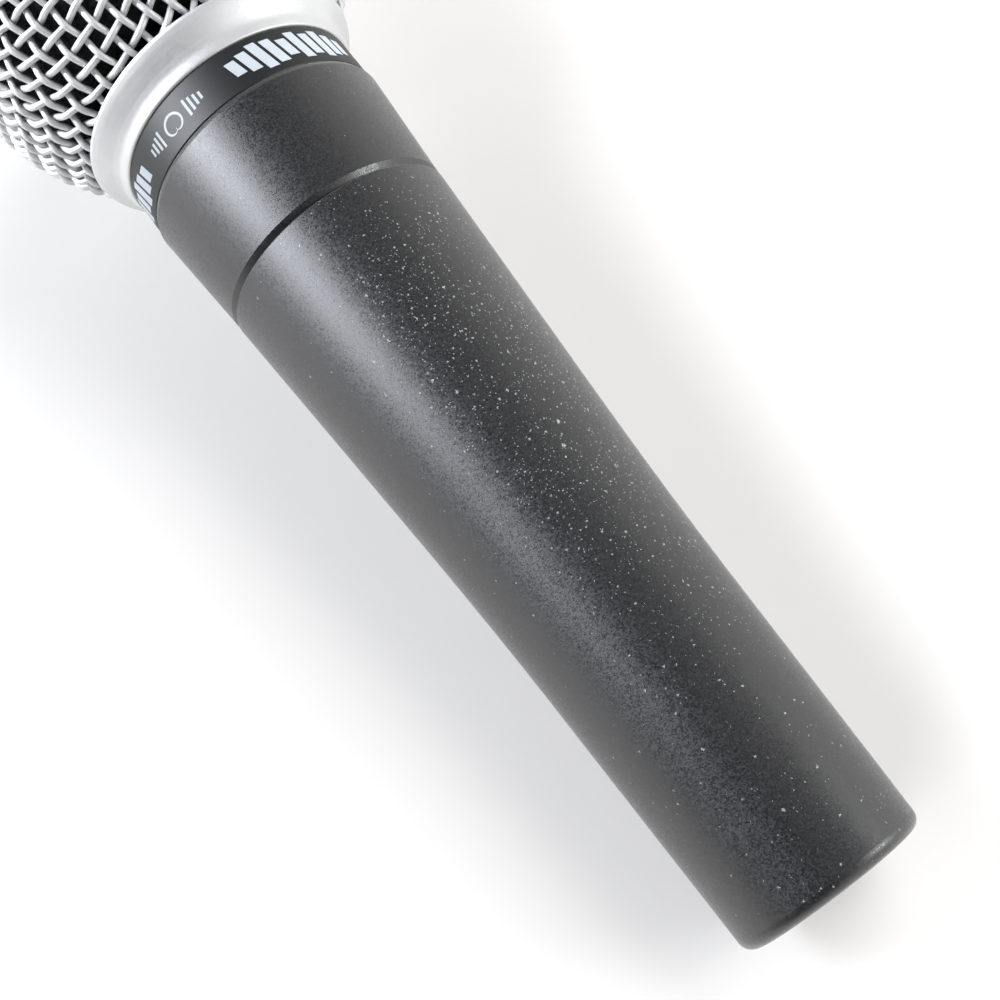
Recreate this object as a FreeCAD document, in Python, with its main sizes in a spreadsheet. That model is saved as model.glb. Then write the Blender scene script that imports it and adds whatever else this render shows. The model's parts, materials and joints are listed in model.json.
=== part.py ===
import FreeCAD, Part
import Sketcher
import math
import os

# Hand-held dynamic microphone lying on a flat surface, resting on its grille ball and its tail rim.
# Every sub-part is drawn about the microphone's own axis: local Z runs from the tail face (0) to
# the top of the ball, local X points at the surface it lies on. One shared placement then lays it down.

doc = FreeCAD.newDocument("Microphone")
dims = doc.addObject("Spreadsheet::Sheet", "Dims")

SIZES = [
    # grille ball
    ("ball_radius", 25.5),
    ("ball_centre", 136.5),
    ("mesh_inner_radius", 24.0),
    ("mesh_lower_start", 117.5),
    ("belt_low", 133.7),
    ("belt_high", 139.3),
    ("belt_inner_radius", 24.2),
    ("foam_outer_radius", 23.6),
    ("foam_inner_radius", 20.2),
    ("foam_start", 121.5),
    # grille collar
    ("collar_low", 113.45),
    ("collar_lip_radius", 16.0),
    ("collar_lip_outer", 16.3),
    ("collar_lip_rise", 113.7),
    ("collar_lip_top", 114.0),
    ("collar_waist_radius", 16.2),
    ("collar_waist_height", 114.2),
    ("flare_one_radius", 16.62),
    ("flare_one_height", 115.0),
    ("flare_two_radius", 17.25),
    ("flare_two_height", 116.0),
    ("flare_three_radius", 18.1),
    ("flare_three_height", 117.1),
    ("bead_radius", 18.62),
    ("bead_low", 117.75),
    ("bead_high", 118.0),
    ("bead_crown_radius", 18.4),
    ("collar_top", 118.25),
    ("collar_top_inner", 18.0),
    ("collar_seat_radius", 17.15),
    ("collar_seat_height", 117.4),
    ("collar_bore_radius", 15.2),
    # cartridge housing
    ("housing_low", 91.6),
    ("housing_low_radius", 14.7),
    ("housing_chamfer_top", 92.3),
    ("housing_skirt_radius", 15.17),
    ("band_low", 107.5),
    ("housing_waist_radius", 16.2),
    ("housing_edge_rise", 0.45),
    ("housing_edge_fall", 0.2),
    ("band_seat_radius", 15.55),
    ("band_outer_radius", 15.97),
    ("band_edge", 0.12),
    ("band_high", 113.35),
    ("spigot_radius", 14.9),
    ("spigot_top", 117.2),
    ("housing_skirt_bore", 13.5),
    ("web_low", 99.6),
    ("web_high", 102.0),
    ("web_hole_radius", 6.0),
    ("mount_bore_radius", 13.0),
    # handle
    ("tail_radius", 11.5),
    ("rim_round", 1.5),
    ("taper_one_height", 34.0),
    ("taper_one_radius", 12.231),
    ("taper_two_height", 39.0),
    ("taper_two_radius", 12.375),
    ("taper_three_height", 44.0),
    ("taper_three_radius", 12.555),
    ("taper_four_height", 49.0),
    ("taper_four_radius", 12.772),
    ("taper_five_height", 54.0),
    ("taper_five_radius", 13.024),
    ("shoulder_height", 91.4),
    ("shoulder_radius", 15.18),
    ("shoulder_chamfer", 0.15),
    ("neck_radius", 13.2),
    ("neck_top", 99.0),
    ("neck_bore_radius", 11.2),
    ("socket_radius", 8.1),
    ("insert_stop", 25.0),
    ("stop_radius", 7.4),
    ("stop_top", 27.0),
    ("lower_cavity_radius", 9.2),
    ("cavity_step", 44.0),
    ("upper_cavity_radius", 10.8),
    ("latch_half", 2.1),
    ("latch_low", 4.0),
    ("latch_high", 9.0),
    ("latch_depth", 9.3),
    ("lock_height", 21.0),
    ("lock_hole_radius", 1.3),
    ("lock_hole_reach", 14.0),
    # connector
    ("insert_low", 17.0),
    ("insert_radius", 8.05),
    ("insert_boss_radius", 6.4),
    ("insert_boss_top", 28.0),
    ("insert_key_low", 6.0),
    ("insert_key_width", 2.2),
    ("insert_key_inner", 7.2),
    ("insert_dimple_depth", 0.9),
    ("contact_circle", 4.35),
    ("contact_radius", 1.2),
    ("contact_shank_radius", 0.85),
    ("contact_tip", 3.4),
    ("contact_first_tip", 2.6),
    ("contact_tail", 31.0),
    ("contact_round", 0.7),
    ("lock_screw_radius", 1.1),
    ("lock_screw_inner", 7.4),
    ("lock_screw_outer", 11.2),
    ("lock_slot_width", 0.5),
    ("lock_slot_depth", 0.6),
    # transformer
    ("core_low", 48.0),
    ("core_high", 62.0),
    ("core_width", 14.0),
    ("core_stack", 7.0),
    ("core_yoke", 2.0),
    ("core_centre_leg", 4.0),
    ("core_window", 3.0),
    ("bobbin_gap", 0.1),
    ("bobbin_wall", 0.6),
    ("bobbin_flange_half", 4.85),
    ("bobbin_flange_side", 6.6),
    ("bobbin_flange_thick", 0.7),
    ("winding_half", 4.6),
    ("winding_side", 6.2),
    ("potting_radius", 10.75),
    ("potting_low", 51.5),
    ("potting_high", 58.5),
    ("potting_slot_half", 7.05),
    ("potting_slot_side", 6.65),
    ("lead_radius", 0.55),
    # cartridge
    ("case_low", 104.0),
    ("case_floor", 105.2),
    ("stem_radius", 8.8),
    ("stem_bore_radius", 7.8),
    ("stem_top", 119.8),
    ("head_floor", 121.0),
    ("head_radius", 12.2),
    ("head_bore_radius", 11.2),
    ("head_top", 134.0),
    ("port_count", 6),
    ("port_half", 1.2),
    ("port_low", 116.6),
    ("port_high", 119.0),
    ("yoke_radius", 11.1),
    ("yoke_low", 121.1),
    ("yoke_floor", 123.1),
    ("yoke_bore_radius", 9.4),
    ("yoke_top", 128.2),
    ("vent_radius", 1.5),
    ("magnet_radius", 5.2),
    ("magnet_top", 128.2),
    ("pole_radius", 5.45),
    ("pole_top", 130.2),
    ("plate_bore_radius", 6.6),
    ("coil_inner_radius", 5.85),
    ("coil_outer_radius", 6.2),
    ("coil_low", 128.6),
    ("coil_high", 132.0),
    ("diaphragm_thick", 0.12),
    ("diaphragm_low", 132.0),
    ("diaphragm_crown", 134.0),
    ("dome_mid_radius", 3.6),
    ("dome_mid_height", 133.4),
    ("roll_radius", 8.6),
    ("roll_height", 132.9),
    ("diaphragm_edge", 11.1),
    ("clamp_low", 130.3),
    ("clamp_bore_radius", 9.6),
    ("clamp_high", 131.9),
    ("cap_low", 134.0),
    ("cap_rim_radius", 12.2),
    ("cap_step", 135.0),
    ("cap_shoulder_radius", 11.4),
    ("cap_shoulder_height", 136.6),
    ("cap_top", 137.4),
    ("cap_top_radius", 10.2),
    ("cap_inner_radius", 9.6),
    ("cap_inner_height", 136.2),
    ("cap_hole_radius", 1.1),
    ("cap_hole_circle", 5.4),
    ("cap_hole_count", 8),
    ("screen_radius", 9.4),
    ("screen_low", 135.7),
    ("screen_high", 136.1),
    ("felt_radius", 7.7),
    ("felt_low", 112.5),
    ("felt_high", 114.5),
    ("board_radius", 6.6),
    ("board_low", 102.8),
    ("board_high", 103.9),
    ("tag_offset", 3.4),
    ("tag_hole_radius", 0.7),
    # rubber shock mount
    ("rubber_low", 103.2),
    ("rubber_foot_top", 105.4),
    ("rubber_inner_radius", 9.0),
    ("rubber_sleeve_radius", 10.1),
    ("rubber_roll_radius", 11.4),
    ("rubber_roll_low", 106.6),
    ("rubber_rim_radius", 12.95),
    ("rubber_waist_low", 109.5),
    ("rubber_flange_low", 112.4),
    ("rubber_top", 115.6),
]

DERIVED = [
    ("centre_gap", "=sqrt((ball_centre - rim_round)^2 + (tail_radius - rim_round)^2)"),
    ("rest_tilt", "=asin((ball_radius - rim_round) / centre_gap)"
                  " - atan((tail_radius - rim_round) / (ball_centre - rim_round))"),
    ("rest_angle", "=90 deg - rest_tilt"),
    ("rest_height", "=ball_radius - ball_centre * sin(rest_tilt)"),
    ("rest_shift", "=0 - (ball_centre * cos(rest_tilt) + ball_radius + rim_round * cos(rest_tilt)"
                   " - (tail_radius - rim_round) * sin(rest_tilt) - rim_round) / 2"),
]


def fill_sheet():
    """Write every driving size and the resting attitude into the sheet."""
    row = 1
    for alias, value in SIZES:
        dims.set("A%d" % row, alias)
        dims.set("B%d" % row, str(value))
        dims.setAlias("B%d" % row, alias)
        row += 1
    doc.recompute()
    for alias, formula in DERIVED:
        dims.set("A%d" % row, alias)
        dims.set("B%d" % row, formula)
        dims.setAlias("B%d" % row, alias)
        doc.recompute()
        row += 1


def size(alias):
    """Current value of a sheet cell as a plain number."""
    value = getattr(dims, alias)
    return float(getattr(value, "Value", value))


def lay_down(item, down="0 mm", aside="0 mm"):
    """Turn a finished sub-part from the microphone's own axis to its resting attitude.

    A sub-part drawn on the axis but standing off it is moved down (local X) and aside (local Y).
    """
    item.Placement = FreeCAD.Placement(FreeCAD.Vector(0, 0, 0), FreeCAD.Rotation(FreeCAD.Vector(0, 1, 0), 80))
    item.setExpression("Placement.Rotation.Angle", "Dims.rest_angle")
    item.setExpression("Placement.Base.x", "Dims.rest_shift * 1 mm + %s * sin(Dims.rest_tilt)" % down)
    item.setExpression("Placement.Base.y", aside)
    item.setExpression("Placement.Base.z", "Dims.rest_height * 1 mm - %s * cos(Dims.rest_tilt)" % down)


def new_body(label):
    body = doc.addObject("PartDesign::Body", "Body_" + label)
    body.Label = label
    return body


def origin_feature(body, role):
    for feature in body.Origin.OriginFeatures:
        if feature.Role == role:
            return feature
    raise RuntimeError("no origin feature " + role)


def new_sketch(body, role, name):
    sketch = body.newObject("Sketcher::SketchObject", name)
    sketch.AttachmentSupport = (origin_feature(body, role), [""])
    sketch.MapMode = "FlatFace"
    return sketch


def pin_point(sketch, edge, position, across, up):
    """Tie one sketch vertex to two sheet expressions; None means on the axis."""
    if across is None:
        sketch.addConstraint(Sketcher.Constraint("PointOnObject", edge, position, -2))
    else:
        value = evaluate(across)
        index = sketch.addConstraint(Sketcher.Constraint("DistanceX", -1, 1, edge, position, value))
        sketch.setExpression("Constraints[%d]" % index, with_sheet(across))
    if up is None:
        sketch.addConstraint(Sketcher.Constraint("PointOnObject", edge, position, -1))
    else:
        value = evaluate(up)
        index = sketch.addConstraint(Sketcher.Constraint("DistanceY", -1, 1, edge, position, value))
        sketch.setExpression("Constraints[%d]" % index, with_sheet(up))


def words_of(expression):
    """Split an expression such as 'low + thick / 2' into its words and signs."""
    return expression.replace("(", " ( ").replace(")", " ) ").split()


def with_sheet(expression):
    """Put the sheet's name before each alias in an expression."""
    return " ".join("Dims." + word if word[0].isalpha() else word for word in words_of(expression))


def evaluate(expression):
    """Value of an expression made of aliases and + - signs, for the first guess of a sketch."""
    total = 0.0
    sign = 1.0
    for word in words_of(expression):
        if word == "+":
            sign = 1.0
        elif word == "-":
            sign = -1.0
        else:
            total += sign * (size(word) if word[0].isalpha() else float(word))
    return total


def outline(sketch, points):
    """Closed polygon whose vertices are all driven by the sheet."""
    places = []
    for across, up in points:
        x = 0.0 if across is None else evaluate(across)
        y = 0.0 if up is None else evaluate(up)
        places.append(FreeCAD.Vector(x, y, 0))
    count = len(places)
    for i in range(count):
        sketch.addGeometry(Part.LineSegment(places[i], places[(i + 1) % count]), False)
    for i in range(count):
        sketch.addConstraint(Sketcher.Constraint("Coincident", i, 2, (i + 1) % count, 1))
    for i in range(count):
        pin_point(sketch, i, 1, points[i][0], points[i][1])


def lathe(label, points):
    """Body turned about the microphone's axis from (radius, height) pairs."""
    body = new_body(label)
    sketch = new_sketch(body, "XZ_Plane", "Outline_" + label)
    outline(sketch, points)
    turned = body.newObject("PartDesign::Revolution", "Turned_" + label)
    turned.Profile = sketch
    turned.ReferenceAxis = (sketch, ["V_Axis"])
    turned.Angle = 360
    body.Tip = turned
    doc.recompute()
    return body


def cut_along(body, role, points, name, length):
    """Pocket a sheet-driven polygon out of a body, starting at one of its origin planes."""
    before = body.Shape.Volume
    sketch = new_sketch(body, role, "Sketch_" + name)
    outline(sketch, points)
    pocket = body.newObject("PartDesign::Pocket", name)
    pocket.Profile = sketch
    pocket.setExpression("Length", with_sheet(length))
    body.Tip = pocket
    doc.recompute()
    if body.Shape.Volume > before - 0.01:
        pocket.Reversed = True
        doc.recompute()
    if body.Shape.Volume > before - 0.01:
        raise RuntimeError("pocket cuts nothing: " + name)
    return pocket


def hole_across(body, centre_up, radius, name, length, role):
    """Round hole square to the axis, from the axis outwards through one wall."""
    before = body.Shape.Volume
    sketch = new_sketch(body, role, "Sketch_" + name)
    circle = Part.Circle(FreeCAD.Vector(0, size(centre_up), 0), FreeCAD.Vector(0, 0, 1), size(radius))
    sketch.addGeometry(circle, False)
    sketch.addConstraint(Sketcher.Constraint("PointOnObject", 0, 3, -2))
    index = sketch.addConstraint(Sketcher.Constraint("DistanceY", -1, 1, 0, 3, size(centre_up)))
    sketch.setExpression("Constraints[%d]" % index, "Dims." + centre_up)
    index = sketch.addConstraint(Sketcher.Constraint("Radius", 0, size(radius)))
    sketch.setExpression("Constraints[%d]" % index, "Dims." + radius)
    pocket = body.newObject("PartDesign::Pocket", name)
    pocket.Profile = sketch
    pocket.Reversed = True
    pocket.setExpression("Length", "Dims." + length)
    body.Tip = pocket
    doc.recompute()
    if body.Shape.Volume > before - 0.01:
        raise RuntimeError("hole cuts nothing: " + name)
    return pocket


def round_edges(body, name, alias, chosen):
    """Fillet the circular edges that the chooser picks."""
    tip = body.Tip
    names = ["Edge%d" % (i + 1) for i, edge in enumerate(tip.Shape.Edges) if chosen(edge)]
    fillet = body.newObject("PartDesign::Fillet", name)
    fillet.Base = (tip, names)
    fillet.Radius = size(alias)
    fillet.setExpression("Radius", "Dims." + alias)
    body.Tip = fillet
    doc.recompute()


def circle_at(edge, radius, height):
    """True for a full circle about the axis with this radius and height."""
    if edge.Curve.TypeId != "Part::GeomCircle":
        return False
    same_size = abs(edge.Curve.Radius - radius) < 0.01
    return same_size and abs(edge.Curve.Center.z - height) < 0.01


def spherical_shell(label, outer, inner, low, high):
    """Zone of a hollow sphere about the ball centre, cut flat at its lower and upper heights."""
    shell = doc.addObject("Part::Cut", "Zone_" + label)
    shell.Label = label
    outside = doc.addObject("Part::Sphere", "Outside_" + label)
    inside = doc.addObject("Part::Sphere", "Inside_" + label)
    outside.setExpression("Radius", "Dims." + outer)
    inside.setExpression("Radius", "Dims." + inner)
    if low:
        outside.setExpression("Angle1", "asin((Dims.%s - Dims.ball_centre) / Dims.%s)" % (low, outer))
    if high:
        outside.setExpression("Angle2", "asin((Dims.%s - Dims.ball_centre) / Dims.%s)" % (high, outer))
    for sphere in (outside, inside):
        sphere.setExpression("Placement.Base.z", "Dims.ball_centre")
    shell.Base = outside
    shell.Tool = inside
    doc.recompute()
    return shell


def span(low, high):
    """Expression for the distance between two heights that are expressions themselves."""
    return "( " + with_sheet(high) + " ) - ( " + with_sheet(low) + " )"


def box(name, half_across, half_side, low, high):
    """Box about the axis from half widths and two heights, all sheet expressions."""
    block = doc.addObject("Part::Box", name)
    block.setExpression("Length", "2 * " + with_sheet(half_across))
    block.setExpression("Width", "2 * " + with_sheet(half_side))
    block.setExpression("Height", span(low, high))
    block.setExpression("Placement.Base.x", "-1 * " + with_sheet(half_across))
    block.setExpression("Placement.Base.y", "-1 * " + with_sheet(half_side))
    block.setExpression("Placement.Base.z", with_sheet(low))
    return block


def cylinder(name, radius, low, high):
    rod = doc.addObject("Part::Cylinder", name)
    rod.setExpression("Radius", with_sheet(radius))
    rod.setExpression("Height", span(low, high))
    rod.setExpression("Placement.Base.z", with_sheet(low))
    return rod


def cut(label, base, tools):
    """Boolean difference of primitives, with its own label."""
    if len(tools) > 1:
        tool = doc.addObject("Part::MultiFuse", "Tools_" + label)
        tool.Shapes = tools
    else:
        tool = tools[0]
    result = doc.addObject("Part::Cut", "Cut_" + label)
    result.Label = label
    result.Base = base
    result.Tool = tool
    return result


def fuse(label, shapes):
    result = doc.addObject("Part::MultiFuse", "Fuse_" + label)
    result.Label = label
    result.Shapes = shapes
    return result


LEAD_GAP = 0.25


def lead(label, points, radius):
    """Insulated wire along a smooth three-dimensional path, ending a lead gap short of its solder."""
    path = Part.BSplineCurve()
    path.interpolate([FreeCAD.Vector(*point) for point in points])
    spine = Part.Wire([path.toShape()])
    start = path.value(path.FirstParameter)
    heading = path.tangent(path.FirstParameter)[0]
    ring = Part.Wire([Part.Edge(Part.Circle(start, heading, radius))])
    item = doc.addObject("Part::Feature", "Lead_" + label)
    item.Label = label
    item.Shape = spine.makePipeShell([ring], True, True)
    return item


# ---- handle and connector ----

def build_handle():
    body = lathe("handle_shell", [
        ("socket_radius", None),
        ("tail_radius", None),
        ("taper_one_radius", "taper_one_height"),
        ("taper_two_radius", "taper_two_height"),
        ("taper_three_radius", "taper_three_height"),
        ("taper_four_radius", "taper_four_height"),
        ("taper_five_radius", "taper_five_height"),
        ("shoulder_radius", "shoulder_height - shoulder_chamfer"),
        ("shoulder_radius - shoulder_chamfer", "shoulder_height"),
        ("neck_radius", "shoulder_height"),
        ("neck_radius", "neck_top"),
        ("neck_bore_radius", "neck_top"),
        ("neck_bore_radius", "shoulder_height"),
        ("upper_cavity_radius", "shoulder_height - 2"),
        ("upper_cavity_radius", "cavity_step"),
        ("lower_cavity_radius", "cavity_step - 2"),
        ("lower_cavity_radius", "stop_top"),
        ("stop_radius", "stop_top"),
        ("stop_radius", "insert_stop"),
        ("socket_radius", "insert_stop"),
    ])
    cut_along(body, "YZ_Plane", [
        ("0 - latch_half", "latch_low"),
        ("latch_half", "latch_low"),
        ("latch_half", "latch_high"),
        ("0 - latch_half", "latch_high"),
    ], "LatchNotch", "latch_depth")
    hole_across(body, "lock_height", "lock_hole_radius", "LockHole", "lock_hole_reach", "XZ_Plane")
    round_edges(body, "TailRim", "rim_round", lambda edge: circle_at(edge, size("tail_radius"), 0))
    return body


def contact_angle(index):
    """Angle of a contact about the axis, in degrees from local X."""
    return (120.0, 240.0, 0.0)[index]


def build_insert():
    disc = cylinder("InsertDisc", "insert_radius", "insert_low", "insert_stop")
    boss = cylinder("InsertBoss", "insert_boss_radius", "insert_stop", "insert_boss_top")
    key = doc.addObject("Part::Box", "InsertKey")
    key.setExpression("Length", "Dims.insert_radius - Dims.insert_key_inner - 0.15")
    key.setExpression("Width", "Dims.insert_key_width")
    key.setExpression("Height", "Dims.insert_low - Dims.insert_key_low + 1")
    key.setExpression("Placement.Base.x", "Dims.insert_key_inner")
    key.setExpression("Placement.Base.y", "-0.5 * Dims.insert_key_width")
    key.setExpression("Placement.Base.z", "Dims.insert_key_low")
    solid = fuse("insert_blank", [disc, boss, key])
    holes = []
    for index in range(3):
        hole = cylinder("ContactHole%d" % (index + 1), "contact_shank_radius", "insert_low - 1", "insert_boss_top + 1")
        angle = math.radians(contact_angle(index))
        hole.setExpression("Placement.Base.x", "Dims.contact_circle * %.6f" % math.cos(angle))
        hole.setExpression("Placement.Base.y", "Dims.contact_circle * %.6f" % math.sin(angle))
        holes.append(hole)
    dimple = doc.addObject("Part::Cylinder", "LockDimple")
    dimple.setExpression("Radius", "Dims.lock_hole_radius")
    dimple.Height = 5
    dimple.Placement = FreeCAD.Placement(FreeCAD.Vector(0, 0, 0), FreeCAD.Rotation(FreeCAD.Vector(1, 0, 0), 90))
    dimple.setExpression("Placement.Base.y", "-1 * (Dims.insert_radius - Dims.insert_dimple_depth)")
    dimple.setExpression("Placement.Base.z", "Dims.lock_height")
    return cut("connector_insert", solid, holes + [dimple])


def build_contact(index):
    """One round contact, tip rounded, solder cup at its back end."""
    label = "contact_pin_%d" % (index + 1)
    tip = "contact_first_tip" if index == 0 else "contact_tip"
    body = lathe(label, [
        (None, tip),
        ("contact_radius", tip),
        ("contact_radius", "insert_low"),
        ("contact_shank_radius", "insert_low"),
        ("contact_shank_radius", "contact_tail"),
        ("contact_shank_radius - 0.3", "contact_tail"),
        ("contact_shank_radius - 0.3", "contact_tail - 2"),
        (None, "contact_tail - 2"),
    ])
    round_edges(body, "Nose_" + label, "contact_round",
                lambda edge: circle_at(edge, size("contact_radius"), size(tip)))
    return body


def build_lock_screw():
    """Slotted grub screw that locks the connector, driven inwards from local -Y."""
    shank = doc.addObject("Part::Cylinder", "LockShank")
    shank.setExpression("Radius", "Dims.lock_screw_radius")
    shank.setExpression("Height", "Dims.lock_screw_outer - Dims.lock_screw_inner")
    shank.Placement = FreeCAD.Placement(FreeCAD.Vector(0, 0, 0), FreeCAD.Rotation(FreeCAD.Vector(1, 0, 0), 90))
    shank.setExpression("Placement.Base.y", "-1 * Dims.lock_screw_inner")
    shank.setExpression("Placement.Base.z", "Dims.lock_height")
    slot = doc.addObject("Part::Box", "LockSlot")
    slot.setExpression("Length", "4 * Dims.lock_screw_radius")
    slot.setExpression("Width", "2 * Dims.lock_slot_depth")
    slot.setExpression("Height", "Dims.lock_slot_width")
    slot.setExpression("Placement.Base.x", "-2 * Dims.lock_screw_radius")
    slot.setExpression("Placement.Base.y", "-1 * (Dims.lock_screw_outer + Dims.lock_slot_depth)")
    slot.setExpression("Placement.Base.z", "Dims.lock_height - Dims.lock_slot_width / 2")
    return cut("lock_screw", shank, [slot])


# ---- transformer in the handle ----

def build_core():
    block = box("CoreBlock", "core_width / 2", "core_stack / 2", "core_low", "core_high")
    windows = []
    for side, name in ((-1, "CoreWindowLeft"), (1, "CoreWindowRight")):
        window = doc.addObject("Part::Box", name)
        window.setExpression("Length", "Dims.core_window")
        window.setExpression("Width", "Dims.core_stack + 2")
        window.setExpression("Height", "Dims.core_high - Dims.core_low - 2 * Dims.core_yoke")
        offset = "Dims.core_centre_leg / 2" if side > 0 else "-1 * (Dims.core_centre_leg / 2 + Dims.core_window)"
        window.setExpression("Placement.Base.x", offset)
        window.setExpression("Placement.Base.y", "-1 * (Dims.core_stack / 2 + 1)")
        window.setExpression("Placement.Base.z", "Dims.core_low + Dims.core_yoke")
        windows.append(window)
    return cut("transformer_core", block, windows)


def build_bobbin():
    tube = box("BobbinTube", "( core_centre_leg / 2 + bobbin_gap + bobbin_wall )",
               "( core_stack / 2 + bobbin_gap + bobbin_wall )",
               "core_low + core_yoke + bobbin_gap", "core_high - core_yoke - bobbin_gap")
    flanges = []
    for name, base in (("BobbinFoot", "Dims.core_low + Dims.core_yoke + Dims.bobbin_gap"),
                       ("BobbinHead", "Dims.core_high - Dims.core_yoke - Dims.bobbin_gap"
                                      " - Dims.bobbin_flange_thick")):
        flange = doc.addObject("Part::Box", name)
        flange.setExpression("Length", "2 * Dims.bobbin_flange_half")
        flange.setExpression("Width", "2 * Dims.bobbin_flange_side")
        flange.setExpression("Height", "Dims.bobbin_flange_thick")
        flange.setExpression("Placement.Base.x", "-1 * Dims.bobbin_flange_half")
        flange.setExpression("Placement.Base.y", "-1 * Dims.bobbin_flange_side")
        flange.setExpression("Placement.Base.z", base)
        flanges.append(flange)
    spool = fuse("bobbin_blank", [tube] + flanges)
    passage = box("BobbinPassage", "( core_centre_leg / 2 + bobbin_gap )", "( core_stack / 2 + bobbin_gap )",
                  "core_low", "core_high")
    return cut("transformer_bobbin", spool, [passage])


def build_winding():
    copper = doc.addObject("Part::Box", "WindingBlock")
    copper.setExpression("Length", "2 * Dims.winding_half")
    copper.setExpression("Width", "2 * Dims.winding_side")
    copper.setExpression("Height", "Dims.core_high - Dims.core_low - 2 * (Dims.core_yoke + Dims.bobbin_gap"
                                   " + Dims.bobbin_flange_thick)")
    copper.setExpression("Placement.Base.x", "-1 * Dims.winding_half")
    copper.setExpression("Placement.Base.y", "-1 * Dims.winding_side")
    copper.setExpression("Placement.Base.z", "Dims.core_low + Dims.core_yoke + Dims.bobbin_gap"
                                             " + Dims.bobbin_flange_thick")
    passage = box("WindingPassage", "( core_centre_leg / 2 + bobbin_gap + bobbin_wall )",
                  "( core_stack / 2 + bobbin_gap + bobbin_wall )", "core_low", "core_high")
    return cut("transformer_winding", copper, [passage])


def build_potting():
    plug = cylinder("PottingPlug", "potting_radius", "potting_low", "potting_high")
    slot = box("PottingSlot", "potting_slot_half", "potting_slot_side", "core_low", "core_high")
    return cut("transformer_potting", plug, [slot])


def build_connector_lead(index):
    """From a contact's solder cup to the transformer's lower end."""
    angle = math.radians(contact_angle(index))
    ring = size("contact_circle")
    start = size("contact_tail") + LEAD_GAP
    finish = size("core_low") - LEAD_GAP
    reach = finish - start
    x = ring * math.cos(angle)
    y = ring * math.sin(angle)
    return lead("connector_lead_%d" % (index + 1), [
        (x, y, start),
        (x * 1.25, y * 1.25 + 0.5, start + reach * 0.35),
        (x * 1.1, y * 1.1 - 0.5, start + reach * 0.70),
        (x * 0.86, y * 0.86, finish),
    ], size("lead_radius"))


def build_capsule_lead(index):
    """From the transformer's upper end, with slack, to a solder tag under the cartridge."""
    side = (-1, 1)[index]
    start = size("core_high") + LEAD_GAP
    finish = size("board_low") - LEAD_GAP
    reach = finish - start
    return lead("capsule_lead_%d" % (index + 1), [
        (side * 3.5, 0.0, start),
        (side * 5.6, 2.6, start + reach * 0.22),
        (side * 2.4, -3.4 * side, start + reach * 0.45),
        (side * 4.4, 3.0, start + reach * 0.70),
        (side * 2.8, 0.8, start + reach * 0.90),
        (side * size("tag_offset"), 0.0, finish),
    ], size("lead_radius"))


# ---- cartridge housing ----

def build_housing():
    return lathe("cartridge_housing", [
        ("housing_skirt_bore", "housing_low"),
        ("housing_low_radius", "housing_low"),
        ("housing_skirt_radius", "housing_chamfer_top"),
        ("housing_waist_radius", "band_low - housing_edge_rise"),
        ("housing_waist_radius - housing_edge_fall", "band_low"),
        ("band_seat_radius", "band_low"),
        ("band_seat_radius", "band_high"),
        ("spigot_radius", "band_high"),
        ("spigot_radius", "spigot_top"),
        ("mount_bore_radius", "spigot_top"),
        ("mount_bore_radius", "web_high"),
        ("web_hole_radius", "web_high"),
        ("web_hole_radius", "web_low"),
        ("housing_skirt_bore", "web_low"),
    ])


def build_band():
    return lathe("name_band", [
        ("band_seat_radius", "band_low"),
        ("band_outer_radius - band_edge", "band_low"),
        ("band_outer_radius", "band_low + band_edge"),
        ("band_outer_radius", "band_high - band_edge"),
        ("band_outer_radius - band_edge", "band_high"),
        ("band_seat_radius", "band_high"),
    ])


def build_shock_mount():
    return lathe("shock_mount", [
        ("rubber_inner_radius", "rubber_low"),
        ("rubber_sleeve_radius", "rubber_low"),
        ("rubber_sleeve_radius", "rubber_foot_top"),
        ("rubber_roll_radius", "rubber_roll_low"),
        ("rubber_roll_radius", "rubber_waist_low"),
        ("rubber_sleeve_radius", "rubber_waist_low + 1"),
        ("rubber_sleeve_radius", "rubber_flange_low - 0.6"),
        ("rubber_rim_radius", "rubber_flange_low"),
        ("rubber_rim_radius", "rubber_top"),
        ("rubber_inner_radius", "rubber_top"),
    ])


# ---- cartridge ----

def build_case():
    body = lathe("capsule_case", [
        (None, "case_low"),
        ("stem_radius", "case_low"),
        ("stem_radius", "stem_top"),
        ("head_radius", "head_floor"),
        ("head_radius", "head_top"),
        ("head_bore_radius", "head_top"),
        ("head_bore_radius", "head_floor"),
        ("stem_bore_radius", "head_floor"),
        ("stem_bore_radius", "case_floor"),
        (None, "case_floor"),
    ])
    port = [
        ("0 - port_half", "port_low"),
        ("port_half", "port_low"),
        ("port_half", "port_high"),
        ("0 - port_half", "port_high"),
    ]
    before = body.Shape.Volume
    pocket = cut_along(body, "YZ_Plane", port, "RearPort", "stem_radius + 0.5")
    pattern = body.newObject("PartDesign::PolarPattern", "RearPorts")
    pattern.Originals = [pocket]
    pattern.Axis = (origin_feature(body, "Z_Axis"), [""])
    pattern.Angle = 360
    pattern.setExpression("Occurrences", "Dims.port_count")
    body.Tip = pattern
    doc.recompute()
    if body.Shape.Volume > before - 1:
        raise RuntimeError("rear ports missing")
    return body


def build_yoke():
    return lathe("magnet_yoke", [
        ("vent_radius", "yoke_low"),
        ("yoke_radius", "yoke_low"),
        ("yoke_radius", "yoke_top"),
        ("yoke_bore_radius", "yoke_top"),
        ("yoke_bore_radius", "yoke_floor"),
        ("vent_radius", "yoke_floor"),
    ])


def build_ring(label, inner, outer, low, high):
    """Plain ring, or a disc when it has no inner radius."""
    return lathe(label, [(inner, low), (outer, low), (outer, high), (inner, high)])


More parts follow.
